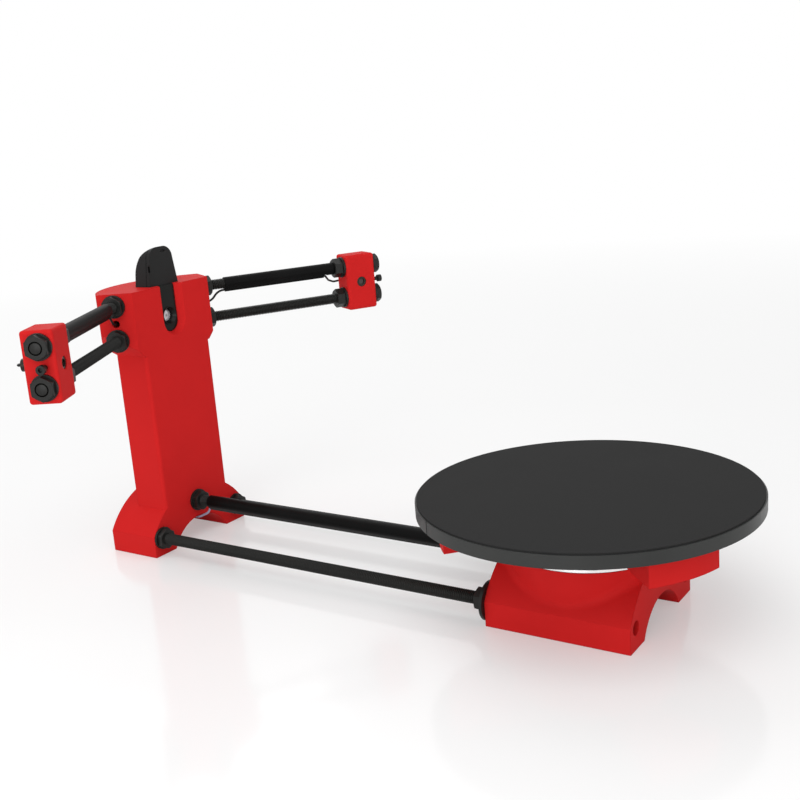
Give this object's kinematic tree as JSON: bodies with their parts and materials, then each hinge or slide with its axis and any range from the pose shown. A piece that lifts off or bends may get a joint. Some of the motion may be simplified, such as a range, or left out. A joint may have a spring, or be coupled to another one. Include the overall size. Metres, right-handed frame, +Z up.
{
  "type": "desktop 3d scanner",
  "caption": "Desktop laser scanner: a tower with a camera and side laser arms, joined by threaded rods to a motor-driven turntable.",
  "frame": {"origin": "bottom centre of the part's box, on the surface it stands on", "axes": "+Z up, +X from the tower to the turntable, Y across the arms; symmetric left to right about the XZ plane but for small parts"},
  "size_m": [0.4618, 0.3446, 0.217],
  "materials": {
    "red_plastic": "smooth, slightly glossy",
    "black_steel": "black finish on threaded steel",
    "black_disc": "satin black",
    "grip_rubber": "matt",
    "black_brass": "blackened",
    "lens_glass": "coated",
    "bearing_steel": "ground",
    "cage_steel": "pressed",
    "motor_black": "satin",
    "motor_alloy": "machined",
    "webcam_black": "satin",
    "webcam_gloss": "glossy",
    "light_pipe": "clear",
    "circuit_board": "solder mask",
    "brass": "turned",
    "black_fittings": "moulded",
    "terminal_blue": "moulded",
    "lead_jacket": "vinyl",
    "button_red": "moulded"
  },
  "bodies": {
    "frame": {"bearing_outer_ring": "bearing_steel", "board_screws": "black_steel", "centre_rod": "black_steel", "centre_sleeve": "grip_rubber", "clamp_screws": "black_steel", "controller_board": "circuit_board", "driver_boards": "circuit_board", "driver_headers": "black_fittings", "header_strips": "black_fittings", "heat_sinks": "motor_alloy", "large_washers": "black_steel", "left_arm_rods": "black_steel", "left_laser_block": "red_plastic", "left_laser_wire": "grip_rubber", "left_sleeve": "grip_rubber", "motor_front_cap": "motor_alloy", "motor_lead": "lead_jacket", "motor_rear_cap": "motor_alloy", "motor_screws": "black_steel", "motor_socket": "black_fittings", "motor_stator": "motor_black", "nuts": "black_steel", "power_jack": "black_fittings", "reset_switch": "black_fittings", "right_arm_rods": "black_steel", "right_laser_block": "red_plastic", "right_laser_wire": "grip_rubber", "right_sleeve": "grip_rubber", "shield_board": "circuit_board", "side_rods": "black_steel", "standoffs": "brass", "terminals": "terminal_blue", "thin_nuts": "black_steel", "tower": "red_plastic", "turntable_base": "red_plastic", "usb_socket": "bearing_steel", "washers": "black_steel", "webcam_bezel": "webcam_black", "webcam_board": "circuit_board", "webcam_lens": "lens_glass", "webcam_lens_ring": "webcam_gloss", "webcam_light": "light_pipe", "webcam_shell": "webcam_black", "webcam_strip": "webcam_gloss"},
    "turntable": {"platter": "black_disc", "grip_mat": "grip_rubber", "carrier": "red_plastic", "grub_screw": "black_steel", "bearing_inner_ring": "bearing_steel", "motor_shaft": "bearing_steel", "motor_rotor": "cage_steel"},
    "ball_cage": {"bearing_cage": "cage_steel", "bearing_balls": "bearing_steel"},
    "left_laser": {"left_laser_barrel": "black_brass", "left_laser_lens": "lens_glass"},
    "right_laser": {"right_laser_barrel": "black_brass", "right_laser_lens": "lens_glass"},
    "reset": {"reset_button": "button_red"}
  },
  "joints": [
    {"name": "turntable_spin", "type": "hinge", "parent": "frame", "child": "turntable", "pos_m": [0.1309, 0, 0.0408], "axis": [0, 0, 1], "continuous": true},
    {"name": "ball_cage_spin", "type": "hinge", "parent": "frame", "child": "ball_cage", "pos_m": [0.1309, 0, 0.0408], "axis": [0, 0, 1], "continuous": true},
    {"name": "left_laser_turn", "type": "hinge", "parent": "frame", "child": "left_laser", "pos_m": [-0.13212, 0.15373, 0.1692], "axis": [0.866, -0.5, 0], "range_deg": [-90, 90]},
    {"name": "right_laser_turn", "type": "hinge", "parent": "frame", "child": "right_laser", "pos_m": [-0.13212, -0.15373, 0.1692], "axis": [0.866, 0.5, 0], "range_deg": [-90, 90]},
    {"name": "reset_press", "type": "slide", "parent": "frame", "child": "reset", "axis": [1, 0, 0], "range_m": [0, 0.0005], "stiffness_N_per_m": 300}
  ],
  "couplings": [
    {"joint": "ball_cage_spin", "follows": "turntable_spin", "ratio": 0.44839}
  ]
}
